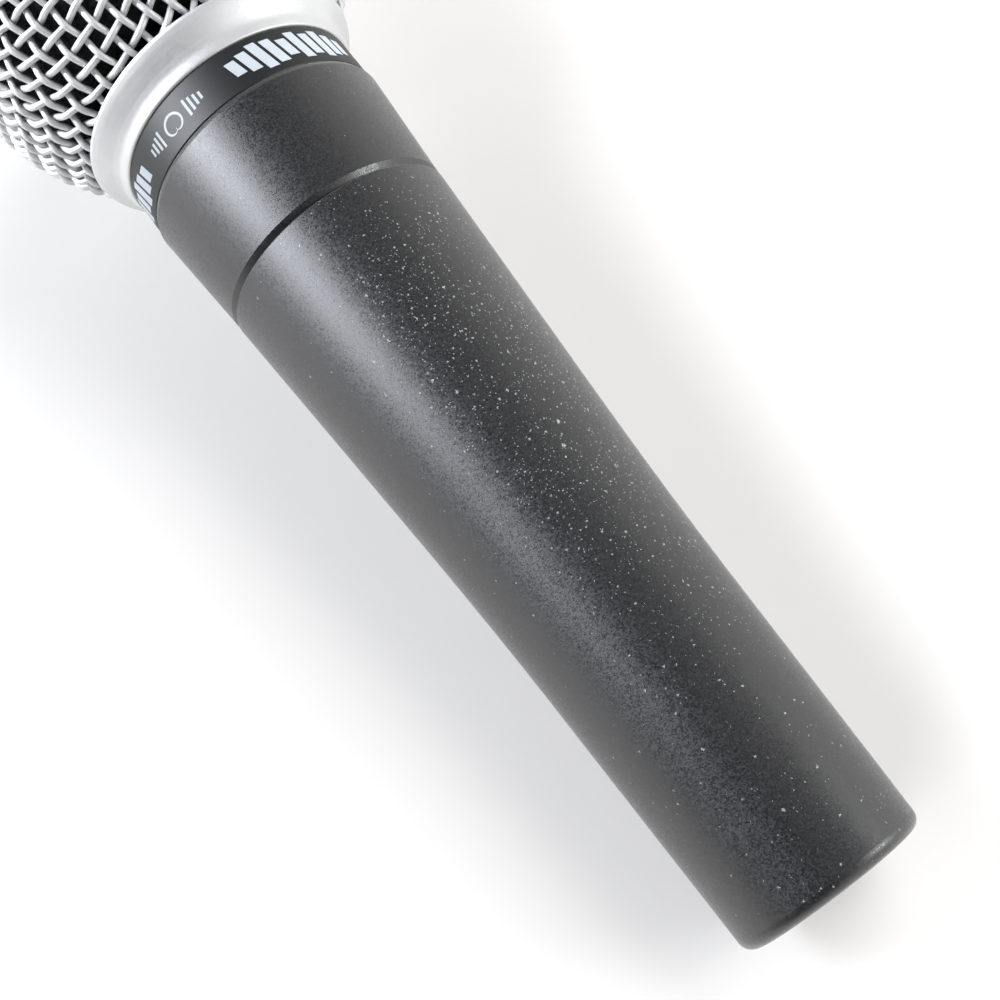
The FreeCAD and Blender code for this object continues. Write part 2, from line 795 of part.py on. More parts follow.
def build_diaphragm():
    thick = " + diaphragm_thick"
    return lathe("diaphragm", [
        (None, "diaphragm_crown"),
        ("dome_mid_radius", "dome_mid_height"),
        ("coil_outer_radius", "diaphragm_low"),
        ("roll_radius", "roll_height"),
        ("diaphragm_edge - 0.7", "diaphragm_low"),
        ("diaphragm_edge", "diaphragm_low"),
        ("diaphragm_edge", "diaphragm_low" + thick),
        ("diaphragm_edge - 0.7", "diaphragm_low" + thick),
        ("roll_radius", "roll_height" + thick),
        ("coil_outer_radius", "diaphragm_low" + thick),
        ("dome_mid_radius", "dome_mid_height" + thick),
        (None, "diaphragm_crown" + thick),
    ])


def build_cap():
    """Perforated front resonator cap of the cartridge."""
    body = lathe("resonator_cap", [
        ("cap_inner_radius", "cap_low"),
        ("cap_rim_radius", "cap_low"),
        ("cap_rim_radius", "cap_step"),
        ("cap_shoulder_radius", "cap_shoulder_height"),
        ("cap_top_radius", "cap_top"),
        (None, "cap_top"),
        (None, "cap_inner_height"),
        ("cap_inner_radius", "cap_inner_height"),
    ])
    sketch = new_sketch(body, "XY_Plane", "Sketch_CapHole")
    sketch.addGeometry(Part.Circle(FreeCAD.Vector(size("cap_hole_circle"), 0, 0), FreeCAD.Vector(0, 0, 1),
                                   size("cap_hole_radius")), False)
    sketch.addConstraint(Sketcher.Constraint("PointOnObject", 0, 3, -1))
    index = sketch.addConstraint(Sketcher.Constraint("DistanceX", -1, 1, 0, 3, size("cap_hole_circle")))
    sketch.setExpression("Constraints[%d]" % index, "Dims.cap_hole_circle")
    index = sketch.addConstraint(Sketcher.Constraint("Radius", 0, size("cap_hole_radius")))
    sketch.setExpression("Constraints[%d]" % index, "Dims.cap_hole_radius")
    before = body.Shape.Volume
    pocket = body.newObject("PartDesign::Pocket", "CapHole")
    pocket.Profile = sketch
    pocket.Reversed = True
    pocket.setExpression("Length", "Dims.cap_top + 2")
    body.Tip = pocket
    doc.recompute()
    if body.Shape.Volume > before - 0.01:
        raise RuntimeError("cap hole cuts nothing")
    pattern = body.newObject("PartDesign::PolarPattern", "CapHoles")
    pattern.Originals = [pocket]
    pattern.Axis = (origin_feature(body, "Z_Axis"), [""])
    pattern.Angle = 360
    pattern.setExpression("Occurrences", "Dims.cap_hole_count")
    body.Tip = pattern
    doc.recompute()
    return body


def build_board():
    """Terminal board with two holes for the lead tags."""
    disc = cylinder("BoardDisc", "board_radius", "board_low", "board_high")
    holes = []
    for side in (-1, 1):
        hole = cylinder("TagHoleLeft" if side < 0 else "TagHoleRight", "tag_hole_radius",
                        "board_low - 1", "board_high + 1")
        hole.setExpression("Placement.Base.x", "%d * Dims.tag_offset" % side)
        holes.append(hole)
    return cut("terminal_board", disc, holes)


# ---- grille ----

def build_collar():
    return lathe("grille_collar", [
        ("collar_bore_radius", "collar_low"),
        ("collar_lip_radius", "collar_low"),
        ("collar_lip_outer", "collar_lip_rise"),
        ("collar_lip_outer", "collar_lip_top"),
        ("collar_waist_radius", "collar_waist_height"),
        ("flare_one_radius", "flare_one_height"),
        ("flare_two_radius", "flare_two_height"),
        ("flare_three_radius", "flare_three_height"),
        ("bead_radius", "bead_low"),
        ("bead_radius", "bead_high"),
        ("bead_crown_radius", "collar_top"),
        ("collar_top_inner", "collar_top"),
        ("collar_seat_radius", "collar_seat_height"),
        ("collar_bore_radius", "collar_seat_height"),
    ])


def check(items):
    """Stop when any object failed or any exported shape is empty or broken."""
    for obj in doc.Objects:
        if "Invalid" in obj.State or "Error" in obj.State:
            raise RuntimeError("object in error: " + obj.Label)
    for item in items:
        if item.Shape.isNull() or not item.Shape.isValid():
            raise RuntimeError("bad shape: " + item.Label)
        if item.Shape.Volume <= 0:
            raise RuntimeError("no volume: " + item.Label)


fill_sheet()
contacts = [build_contact(index) for index in range(3)]
nodes = [build_handle(), build_insert(), build_lock_screw()]
nodes += [build_core(), build_bobbin(), build_winding(), build_potting()]
nodes += [build_connector_lead(index) for index in range(3)]
nodes += [build_capsule_lead(index) for index in range(2)]
nodes += [build_housing(), build_band(), build_shock_mount()]
nodes += [
    build_case(),
    build_yoke(),
    build_ring("magnet", "vent_radius", "magnet_radius", "yoke_floor", "magnet_top"),
    build_ring("pole_piece", "vent_radius", "pole_radius", "magnet_top", "pole_top"),
    build_ring("top_plate", "plate_bore_radius", "yoke_radius", "yoke_top", "pole_top"),
    build_ring("voice_coil", "coil_inner_radius", "coil_outer_radius", "coil_low", "coil_high"),
    build_diaphragm(),
    build_ring("diaphragm_clamp", "clamp_bore_radius", "yoke_radius", "clamp_low", "clamp_high"),
    build_cap(),
    build_ring("front_screen", None, "screen_radius", "screen_low", "screen_high"),
    build_ring("felt_disc", None, "felt_radius", "felt_low", "felt_high"),
    build_board(),
]
nodes += [
    spherical_shell("foam_windscreen", "foam_outer_radius", "foam_inner_radius", "foam_start", None),
    build_collar(),
    spherical_shell("grille_mesh_lower", "ball_radius", "mesh_inner_radius", "mesh_lower_start", "belt_low"),
    spherical_shell("grille_belt", "ball_radius", "belt_inner_radius", "belt_low", "belt_high"),
    spherical_shell("grille_mesh_upper", "ball_radius", "mesh_inner_radius", "belt_high", None),
]
for node in nodes:
    lay_down(node)
for index, contact in enumerate(contacts):
    turn = math.radians(contact_angle(index))
    lay_down(contact, "Dims.contact_circle * 1 mm * %.6f" % math.cos(turn),
             "Dims.contact_circle * 1 mm * %.6f" % math.sin(turn))
nodes += contacts
doc.recompute()
check(nodes)
os.makedirs("parts", exist_ok=True)
for node in nodes:
    node.Shape.exportStep("parts/" + node.Label + ".step")
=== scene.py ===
import json
import math

import bmesh
import bpy
import numpy as np
from mathutils import Matrix, Vector


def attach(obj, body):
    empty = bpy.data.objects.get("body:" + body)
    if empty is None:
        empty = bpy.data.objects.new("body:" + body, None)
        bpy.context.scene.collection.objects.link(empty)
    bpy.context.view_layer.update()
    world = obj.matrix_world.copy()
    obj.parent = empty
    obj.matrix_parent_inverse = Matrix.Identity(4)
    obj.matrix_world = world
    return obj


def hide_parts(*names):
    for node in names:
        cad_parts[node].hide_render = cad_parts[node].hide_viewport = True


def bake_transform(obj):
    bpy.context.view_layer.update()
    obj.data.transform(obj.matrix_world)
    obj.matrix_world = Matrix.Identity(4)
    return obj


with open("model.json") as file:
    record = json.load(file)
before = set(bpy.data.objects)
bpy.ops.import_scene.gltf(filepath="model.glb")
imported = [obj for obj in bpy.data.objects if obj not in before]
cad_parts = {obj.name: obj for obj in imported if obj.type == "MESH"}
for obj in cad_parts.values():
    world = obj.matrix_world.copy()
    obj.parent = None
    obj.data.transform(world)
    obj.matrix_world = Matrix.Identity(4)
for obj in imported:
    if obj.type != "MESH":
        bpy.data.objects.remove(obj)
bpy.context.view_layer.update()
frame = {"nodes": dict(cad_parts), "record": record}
MM = 0.001

# ---- the microphone's own frame: u along its axis from the tail, angles from its upper side ----

JOINTS = {joint["name"]: joint for joint in frame["record"]["behaviour"]["joints"]}
MOUNTS = {mount["name"]: mount for mount in frame["record"]["mounts"]}
AXIS = Vector(JOINTS["grille_turn"]["axis"]).normalized()
SIDE = Vector((0, 1, 0))
UP = AXIS.cross(SIDE).normalized()
CLIP_GRIP_HEIGHT = 60.0
TAIL = Vector(MOUNTS["clip_grip"]["pos_m"]) - AXIS * CLIP_GRIP_HEIGHT * MM


def place(height, radius=0.0, angle=0.0):
    """Point at a height along the axis, a distance from it and an angle round it from the upper side."""
    out = UP * math.cos(angle) + SIDE * math.sin(angle)
    return TAIL + (AXIS * height + out * radius) * MM


TO_ROW = np.array([list(AXIS), list(SIDE), list(UP)])
TAIL_ROW = np.array(list(TAIL))


def to_row(points):
    """Array of (u, side, up) points in millimetres to row-frame metres."""
    return TAIL_ROW + (np.asarray(points, float) @ TO_ROW) * MM


# ---- mesh helpers ----

def mesh_object(name, verts, faces, material=None, smooth=True, sharp_angle=None):
    """New object in the scene from points and faces; edges sharper than sharp_angle degrees stay crisp."""
    mesh = bpy.data.meshes.new(name)
    mesh.from_pydata([tuple(v) for v in verts], [], [tuple(int(i) for i in face) for face in faces])
    mesh.validate()
    obj = bpy.data.objects.new(name, mesh)
    bpy.context.scene.collection.objects.link(obj)
    if smooth:
        mesh.polygons.foreach_set("use_smooth", [True] * len(mesh.polygons))
    if sharp_angle is not None:
        mesh.set_sharp_from_angle(angle=math.radians(sharp_angle))
    if material is not None:
        mesh.materials.append(material)
    return obj


STRAIGHT_ANGLE = math.radians(179.5)
FILLET_SHARE = 0.48


def filleted(corners, steps=6):
    """Closed (radius, height) outline from (radius, height, fillet) corners, each rounded by its own fillet.

    A fillet takes at most its share of the two edges that meet at the corner.
    """
    points = np.array([corner[:2] for corner in corners], float)
    outline = []
    for i, (_, _, fillet) in enumerate(corners):
        here = points[i]
        back = points[i - 1] - here
        ahead = points[(i + 1) % len(points)] - here
        back_length, ahead_length = np.linalg.norm(back), np.linalg.norm(ahead)
        back, ahead = back / back_length, ahead / ahead_length
        opening = math.acos(max(-1.0, min(1.0, float(back @ ahead))))
        if fillet == 0 or opening > STRAIGHT_ANGLE:
            outline.append(here)
            continue
        reach = min(fillet / math.tan(opening / 2), FILLET_SHARE * back_length, FILLET_SHARE * ahead_length)
        first, last = here + back * reach, here + ahead * reach
        for k in range(steps + 1):
            s = k / steps
            outline.append((1 - s) ** 2 * first + 2 * s * (1 - s) * here + s ** 2 * last)
    return np.array(outline)


def lathe(name, profile, material, turns=192, sharp_angle=40):
    """Closed solid of revolution from a closed (radius, height) profile."""
    angles = np.linspace(0, 2 * np.pi, turns, endpoint=False)
    count = len(profile)
    verts = []
    for angle in angles:
        for radius, height in profile:
            verts.append((height, radius * math.sin(angle), radius * math.cos(angle)))
    faces = []
    for i in range(turns):
        for k in range(count):
            a, b = i * count, ((i + 1) % turns) * count
            faces.append((a + k, a + (k + 1) % count, b + (k + 1) % count, b + k))
    obj = mesh_object(name, to_row(verts), faces, material, sharp_angle=sharp_angle)
    face_outwards(obj)
    return obj


def face_outwards(obj):
    """Turns a closed mesh's faces so that their normals point out of it."""
    bm = bmesh.new()
    bm.from_mesh(obj.data)
    bmesh.ops.recalc_face_normals(bm, faces=bm.faces)
    bm.to_mesh(obj.data)
    bm.free()


def tube_parts(path, normals, radius, sides, verts, faces):
    """Adds one round wire along a path to the lists; its ends are capped."""
    path = np.asarray(path)
    tangents = np.gradient(path, axis=0)
    tangents /= np.linalg.norm(tangents, axis=1)[:, None]
    across = np.cross(tangents, normals)
    across /= np.linalg.norm(across, axis=1)[:, None]
    lift = np.cross(across, tangents)
    start = len(verts)
    for k in range(sides):
        turn = 2 * np.pi * k / sides
        ring = path + radius * (math.cos(turn) * lift + math.sin(turn) * across)
        verts.extend(ring)
    length = len(path)
    for k in range(sides):
        a, b = start + k * length, start + ((k + 1) % sides) * length
        for i in range(length - 1):
            faces.append((a + i, a + i + 1, b + i + 1, b + i))
    faces.append([start + k * length for k in range(sides)])
    faces.append([start + k * length + length - 1 for k in reversed(range(sides))])


# ---- materials ----

def new_material(name):
    """Material with its nodes, links and Principled shader at hand."""
    material = bpy.data.materials.new(name)
    material.use_nodes = True
    nodes = material.node_tree.nodes
    shader = nodes["Principled BSDF"]
    return material, nodes, material.node_tree.links, shader


def add(nodes, kind, **attributes):
    """New node with the given attributes."""
    node = nodes.new(kind)
    for key, value in attributes.items():
        setattr(node, key, value)
    return node


def object_coordinates(nodes):
    return add(nodes, "ShaderNodeTexCoord").outputs["Object"]


def noise(nodes, links, scale, detail=3.0, roughness=0.55):
    """Fractal noise whose scale is in cycles per millimetre of object space."""
    node = add(nodes, "ShaderNodeTexNoise")
    node.inputs["Scale"].default_value = scale / MM
    node.inputs["Detail"].default_value = detail
    node.inputs["Roughness"].default_value = roughness
    links.new(object_coordinates(nodes), node.inputs["Vector"])
    return node.outputs["Fac"]


def cell_pattern(nodes, links, vector, cell):
    """Voronoi pattern whose cells are about the given number of millimetres across."""
    node = add(nodes, "ShaderNodeTexVoronoi")
    node.inputs["Scale"].default_value = 1.0 / (cell * MM)
    links.new(vector, node.inputs["Vector"])
    return node


def cell_lots(nodes, links, cells):
    """Random values of each cell, as separate outputs."""
    lots = add(nodes, "ShaderNodeSeparateColor")
    links.new(cells.outputs["Color"], lots.inputs["Color"])
    return lots.outputs


def remap(nodes, links, value, low, high, to_low=0.0, to_high=1.0, smooth=False):
    """Value carried from one range to another and held at its ends."""
    node = add(nodes, "ShaderNodeMapRange")
    if smooth:
        node.interpolation_type = "SMOOTHSTEP"
    node.inputs["From Min"].default_value = low
    node.inputs["From Max"].default_value = high
    node.inputs["To Min"].default_value = to_low
    node.inputs["To Max"].default_value = to_high
    links.new(value, node.inputs["Value"])
    return node.outputs["Result"]


def math_node(nodes, links, operation, *operands):
    """Math node over operands that are each a number or another node's output."""
    node = add(nodes, "ShaderNodeMath", operation=operation)
    for socket, value in zip(node.inputs, operands):
        if isinstance(value, (int, float)):
            socket.default_value = value
        else:
            links.new(value, socket)
    return node.outputs[0]


def dot(nodes, links, vector, direction, origin=None):
    """Dot product of a vector output with a constant direction, after taking away a constant origin."""
    if origin is not None:
        shift = add(nodes, "ShaderNodeVectorMath", operation="SUBTRACT")
        shift.inputs[1].default_value = origin
        links.new(vector, shift.inputs[0])
        vector = shift.outputs[0]
    node = add(nodes, "ShaderNodeVectorMath", operation="DOT_PRODUCT")
    node.inputs[1].default_value = direction
    links.new(vector, node.inputs[0])
    return node.outputs["Value"]


def mix_colour(nodes, links, factor, first, second):
    """Mix of two colours that are each a tuple or another node's output."""
    node = add(nodes, "ShaderNodeMix", data_type="RGBA")
    sockets = [s for s in node.inputs if s.type == "RGBA"]
    links.new(factor, node.inputs["Factor"])
    for socket, value in zip(sockets, (first, second)):
        if isinstance(value, (tuple, list)):
            socket.default_value = (*value, 1.0)
        else:
            links.new(value, socket)
    return [s for s in node.outputs if s.type == "RGBA"][0]


def bump(nodes, links, shader, height, distance):
    """Fine relief whose full height is the given number of millimetres."""
    node = add(nodes, "ShaderNodeBump")
    node.inputs["Strength"].default_value = 1.0
    node.inputs["Distance"].default_value = distance * MM
    links.new(height, node.inputs["Height"])
    links.new(node.outputs["Normal"], shader.inputs["Normal"])


NOISE_SPAN = (0.3, 0.7)
PLAIN_RELIEF_GRAIN = 6.0


def plain(name, dark, light, roughness, metallic=0.0, grain=1.2, rough_spread=0.08, relief=0.01,
          sheen=0.0, coat=0.0):
    """Procedural finish: colour drifts between two tones, roughness varies, fine relief."""
    material, nodes, links, shader = new_material(name)
    drift = remap(nodes, links, noise(nodes, links, grain * 0.2, 4.0, 0.6), *NOISE_SPAN)
    links.new(mix_colour(nodes, links, drift, dark, light), shader.inputs["Base Color"])
    fine = noise(nodes, links, grain, 5.0, 0.6)
    rough = remap(nodes, links, fine, *NOISE_SPAN, roughness - rough_spread, roughness + rough_spread)
    links.new(rough, shader.inputs["Roughness"])
    bump(nodes, links, shader, noise(nodes, links, PLAIN_RELIEF_GRAIN, 2.0), relief)
    shader.inputs["Metallic"].default_value = metallic
    shader.inputs["Sheen Weight"].default_value = sheen
    shader.inputs["Coat Weight"].default_value = coat
    return material


SEED_SHIFT = (0.37, 0.11, 0.23)
FLECK_WOBBLES = 1.2
FLECK_RAGGEDNESS = 3.0
SMALLEST_FLECK = 0.45


def chip_layer(nodes, links, coords, cell, reach, density, seed):
    """Mask of small irregular flecks, at most one to a cell.

    The cell is in millimetres. The reach is the largest fleck's radius as a share of the cell, and the
    density is the share of cells that hold a fleck.
    """
    radius = reach * cell * MM
    shift = add(nodes, "ShaderNodeVectorMath", operation="ADD")
    shift.inputs[1].default_value = [seed * step for step in SEED_SHIFT]
    links.new(coords, shift.inputs[0])
    wobble = add(nodes, "ShaderNodeTexNoise")
    wobble.inputs["Scale"].default_value = FLECK_WOBBLES / radius
    wobble.inputs["Detail"].default_value = 2.0
    links.new(shift.outputs[0], wobble.inputs["Vector"])
    ragged = add(nodes, "ShaderNodeVectorMath", operation="MULTIPLY_ADD")
    ragged.inputs[1].default_value = (radius * FLECK_RAGGEDNESS,) * 3
    ragged.inputs[2].default_value = (-radius * FLECK_RAGGEDNESS / 2,) * 3
    links.new(wobble.outputs["Color"], ragged.inputs[0])
    total = add(nodes, "ShaderNodeVectorMath", operation="ADD")
    links.new(shift.outputs[0], total.inputs[0])
    links.new(ragged.outputs[0], total.inputs[1])
    cells = cell_pattern(nodes, links, total.outputs[0], cell)
    lots = cell_lots(nodes, links, cells)
    present = math_node(nodes, links, "LESS_THAN", lots[0], density)
    width = remap(nodes, links, lots[1], 0.0, 1.0, reach * SMALLEST_FLECK, reach)
    inside = math_node(nodes, links, "LESS_THAN", cells.outputs["Distance"], width)
    return math_node(nodes, links, "MULTIPLY", present, inside)


ENAMEL_DARK = (0.0020, 0.0023, 0.0031)
ENAMEL_LIGHT = (0.0105, 0.0110, 0.0125)
ENAMEL_ROUGHNESS = (0.28, 0.50)
ENAMEL_RELIEF = 0.0085
GRAIN_SIZE = 0.17
CHIP_GREY = (0.27, 0.285, 0.29)
CHIP_DEPTH = 1.2
WORN_SIDE = math.radians(-32)

# cell in millimetres, reach, density and seed of the grey specks and the hollow pits on all enamel
SPECKS = (0.8, 0.075, 0.22, 5)
PITS = (0.46, 0.20, 0.30, 6)

# cell in millimetres, reach, density where the handle is worn most, density elsewhere, seed
CHIP_SIZES = [(0.36, 0.22, 0.95, 0.020, 1), (0.62, 0.22, 0.78, 0.050, 2), (1.35, 0.17, 0.36, 0.040, 3)]


def wear_density(nodes, links, coords):
    """How worn the handle is here: most on the -Y side of its top, below the groove, in patches."""
    normal = add(nodes, "ShaderNodeNewGeometry").outputs["Normal"]
    worn_side = UP * math.cos(WORN_SIDE) + SIDE * math.sin(WORN_SIDE)
    around = remap(nodes, links, dot(nodes, links, normal, tuple(worn_side)), 0.52, 0.88, smooth=True)
    along = dot(nodes, links, coords, tuple(AXIS), tuple(TAIL))
    above_tail = remap(nodes, links, along, 18 * MM, 58 * MM, 0.10, 1.0, smooth=True)
    below_groove = remap(nodes, links, along, 74 * MM, 91 * MM, 1.0, 0.22, smooth=True)
    patchy = remap(nodes, links, noise(nodes, links, 0.14, 3.0), 0.36, 0.62, 0.40, 1.0)
    worn = math_node(nodes, links, "MULTIPLY", around, above_tail)
    worn = math_node(nodes, links, "MULTIPLY", worn, below_groove)
    return math_node(nodes, links, "MULTIPLY", worn, patchy)


def enamel(name, chips):
    """Satin charcoal enamel with a fine grain and, on the handle, wear chips down to the grey primer."""
    material, nodes, links, shader = new_material(name)
    coords = object_coordinates(nodes)
    lots = cell_lots(nodes, links, cell_pattern(nodes, links, coords, GRAIN_SIZE))
    colour = mix_colour(nodes, links, lots[0], ENAMEL_DARK, ENAMEL_LIGHT)
    rough = remap(nodes, links, lots[1], 0.0, 1.0, *ENAMEL_ROUGHNESS)
    flecks = chip_layer(nodes, links, coords, *SPECKS)
    pits = chip_layer(nodes, links, coords, *PITS)
    if chips:
        worn = wear_density(nodes, links, coords)
        for cell, reach, most, least, seed in CHIP_SIZES:
            density = math_node(nodes, links, "MULTIPLY_ADD", worn, most, least)
            layer = chip_layer(nodes, links, coords, cell, reach, density, seed)
            flecks = math_node(nodes, links, "MAXIMUM", flecks, layer)
    height = noise(nodes, links, 7.0, 1.0, 0.6)
    for hollow in (flecks, pits):
        depth = math_node(nodes, links, "MULTIPLY", hollow, CHIP_DEPTH)
        height = math_node(nodes, links, "SUBTRACT", height, depth)
    links.new(mix_colour(nodes, links, flecks, colour, CHIP_GREY), shader.inputs["Base Color"])
    links.new(rough, shader.inputs["Roughness"])
    bump(nodes, links, shader, height, ENAMEL_RELIEF)
    shader.inputs["Specular IOR Level"].default_value = 0.9
    shader.inputs["Sheen Weight"].default_value = 0.34
    shader.inputs["Sheen Roughness"].default_value = 0.35
    return material


NICKEL_DEEP = (0.985, 0.995, 1.0)
NICKEL_PALE = (1.07, 1.08, 1.08)
NICKEL_RELIEF = 0.004


def satin_nickel(name, roughness, tone, metallic=1.0):
    """Satin nickel plate whose tone and roughness drift a little."""
    material, nodes, links, shader = new_material(name)
    drift = remap(nodes, links, noise(nodes, links, 0.15, 4.0), *NOISE_SPAN)
    deep, pale = (tuple(tone * channel for channel in tint) for tint in (NICKEL_DEEP, NICKEL_PALE))
    links.new(mix_colour(nodes, links, drift, deep, pale), shader.inputs["Base Color"])
    fine = noise(nodes, links, 3.0, 4.0)
    rough = remap(nodes, links, fine, *NOISE_SPAN, roughness - 0.05, roughness + 0.07)
    links.new(rough, shader.inputs["Roughness"])
    bump(nodes, links, shader, noise(nodes, links, 9.0, 3.0), NICKEL_RELIEF)
    shader.inputs["Metallic"].default_value = metallic
    return material


PORE_SIZE = 0.55
PORE_DEPTH = 0.25
# the foam's own black, also used as painted shade at the bottom of the pores
FOAM_BLACK_AND_PORE_SHADE = (0.004, 0.004, 0.004)
FOAM_GREY = (0.016, 0.016, 0.017)


def foam_material(name):
    """Dull black open-cell foam with painted shade: its colour darkens to black at the bottom of its pores.
    """
    material, nodes, links, shader = new_material(name)
    pores = cell_pattern(nodes, links, object_coordinates(nodes), PORE_SIZE)
    wall = remap(nodes, links, pores.outputs["Distance"], 0.0, 0.6)
    # painted shade: the colour goes from the grey pore walls to black at the bottom of each pore
    links.new(mix_colour(nodes, links, wall, FOAM_BLACK_AND_PORE_SHADE, FOAM_GREY), shader.inputs["Base Color"])
    shader.inputs["Roughness"].default_value = 0.95
    shader.inputs["Specular IOR Level"].default_value = 0.1
    bump(nodes, links, shader, wall, PORE_DEPTH)
    return material


MATERIALS = {
    "handle_enamel": enamel("handle_enamel", True),
    "housing_enamel": enamel("housing_enamel", False),
    "band_print": plain("band_print", (0.003, 0.0035, 0.004), (0.004, 0.0045, 0.005), 0.50, grain=5.0,
                        rough_spread=0.02, relief=0.003),
    "mark_ink": plain("mark_ink", (0.43, 0.48, 0.53), (0.47, 0.52, 0.57), 0.55, relief=0.002),
    "satin_nickel": satin_nickel("satin_nickel", 0.56, 0.62, metallic=0.85),
    "mesh_wire": satin_nickel("mesh_wire", 0.62, 0.62, metallic=0.85),
    "foam": foam_material("foam"),
    "contact_metal": satin_nickel("contact_metal", 0.22, 0.7),
    "insert_plastic": plain("insert_plastic", (0.012, 0.012, 0.012), (0.02, 0.02, 0.02), 0.45),
    "screw_steel": plain("screw_steel", (0.05, 0.05, 0.05), (0.09, 0.09, 0.09), 0.35, metallic=1.0),
    "core_steel": plain("core_steel", (0.10, 0.10, 0.11), (0.18, 0.18, 0.19), 0.5, metallic=0.8, relief=0.03),
    "bobbin_nylon": plain("bobbin_nylon", (0.55, 0.50, 0.38), (0.65, 0.60, 0.46), 0.5),
    "winding_copper": plain("winding_copper", (0.42, 0.14, 0.05), (0.60, 0.22, 0.08), 0.35, metallic=0.9,
                            relief=0.05),
    "potting_resin": plain("potting_resin", (0.30, 0.19, 0.06), (0.42, 0.28, 0.10), 0.25, coat=0.5),
    "lead_black": plain("lead_black", (0.01, 0.01, 0.01), (0.02, 0.02, 0.02), 0.5),
    "lead_red": plain("lead_red", (0.30, 0.015, 0.01), (0.40, 0.03, 0.02), 0.5),
    "lead_white": plain("lead_white", (0.55, 0.54, 0.50), (0.65, 0.64, 0.60), 0.5),
    "lead_yellow": plain("lead_yellow", (0.60, 0.40, 0.02), (0.70, 0.50, 0.04), 0.5),
    "lead_green": plain("lead_green", (0.02, 0.18, 0.05), (0.03, 0.26, 0.08), 0.5),
    "mount_rubber": plain("mount_rubber", (0.010, 0.010, 0.011), (0.018, 0.018, 0.019), 0.7, relief=0.02),
    "case_plastic": plain("case_plastic", (0.016, 0.016, 0.018), (0.024, 0.024, 0.027), 0.5),
    "yoke_steel": plain("yoke_steel", (0.35, 0.35, 0.36), (0.45, 0.45, 0.46), 0.35, metallic=1.0),
    "magnet_alloy": plain("magnet_alloy", (0.09, 0.09, 0.10), (0.14, 0.14, 0.15), 0.45, metallic=0.8),
    "coil_wire": plain("coil_wire", (0.45, 0.20, 0.08), (0.60, 0.30, 0.12), 0.35, metallic=0.9, relief=0.04),
    "diaphragm_film": plain("diaphragm_film", (0.45, 0.46, 0.44), (0.55, 0.56, 0.54), 0.2, relief=0.01),
    "cap_metal": satin_nickel("cap_metal", 0.4, 0.5),
    "screen_cloth": plain("screen_cloth", (0.02, 0.02, 0.022), (0.05, 0.05, 0.052), 0.9, relief=0.08,
                          sheen=0.3),
    "felt": plain("felt", (0.25, 0.22, 0.19), (0.34, 0.31, 0.27), 0.95, relief=0.1, sheen=0.4),
    "board_laminate": plain("board_laminate", (0.22, 0.12, 0.05), (0.30, 0.17, 0.07), 0.5),
}

# every CAD piece wears the material that its record names
for part in frame["record"]["subparts"]:
    carried = frame["nodes"][part["node"]]
    carried.data.materials.clear()
    carried.data.materials.append(MATERIALS[part["material_slot"]])


def finish_piece(obj, body, slot, *nodes):
    """Lets a piece ride on a body, in place of CAD nodes if any are named. The slot is not used."""
    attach(obj, body)
    if nodes:
        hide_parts(*nodes)
    return obj


# ---- woven wire grille ----

BALL_RADIUS = 25.5
BALL_CENTRE = 136.5
WIRE_RADIUS = 0.42
WIRE_SIDES = 8
WEAVE_PITCH = 2.43
NET_STEPS = 6
NET_RADIUS = BALL_RADIUS - 2 * WIRE_RADIUS
TINY = 1e-9
LOCKED_SHEAR = 0.93
SHORTEST_RUN = 4


def draped_quarter(count, step):
    """Cloth of inextensible threads laid on a sphere from its pole: a quarter of it, thread by thread.

    A thread ends where the cloth would have to shear past its locking angle.
    """
    net = np.full((count, count, 3), np.nan)
    bend = 2 * math.asin(step / (2 * NET_RADIUS))
    for i in range(count):
        net[i, 0] = NET_RADIUS * np.array([math.sin(i * bend), 0, math.cos(i * bend)])
        net[0, i] = NET_RADIUS * np.array([0, math.sin(i * bend), math.cos(i * bend)])
    for i in range(1, count):
        for j in range(1, count):
            left, below, behind = net[i - 1, j], net[i, j - 1], net[i - 1, j - 1]
            normal = np.cross(left, below)
            length = np.linalg.norm(normal)
            if math.isnan(length) or length <= TINY:
                break
            normal /= length
            point = behind - 2 * np.dot(behind, normal) * normal
            if np.dot(point - left, point - below) > LOCKED_SHEAR * step * step:
                break
            net[i, j] = point
    return net


QUARTER_COUNT = 112
QUARTER = draped_quarter(QUARTER_COUNT, WEAVE_PITCH / NET_STEPS)


def net_point(a, b):
    """Point of the whole net at signed step counts a and b, interpolated inside the quarter."""
    x, y = abs(a), abs(b)
    i, j = int(x), int(y)
    if i + 1 >= QUARTER_COUNT or j + 1 >= QUARTER_COUNT:
        return None
    s, r = x - i, y - j
    point = (QUARTER[i, j] * (1 - s) * (1 - r) + QUARTER[i + 1, j] * s * (1 - r)
             + QUARTER[i, j + 1] * (1 - s) * r + QUARTER[i + 1, j + 1] * s * r)
    if np.isnan(point).any():
        return None
    point = point / np.linalg.norm(point)
    return np.array([math.copysign(1, a) * point[0], math.copysign(1, b) * point[1], point[2]])


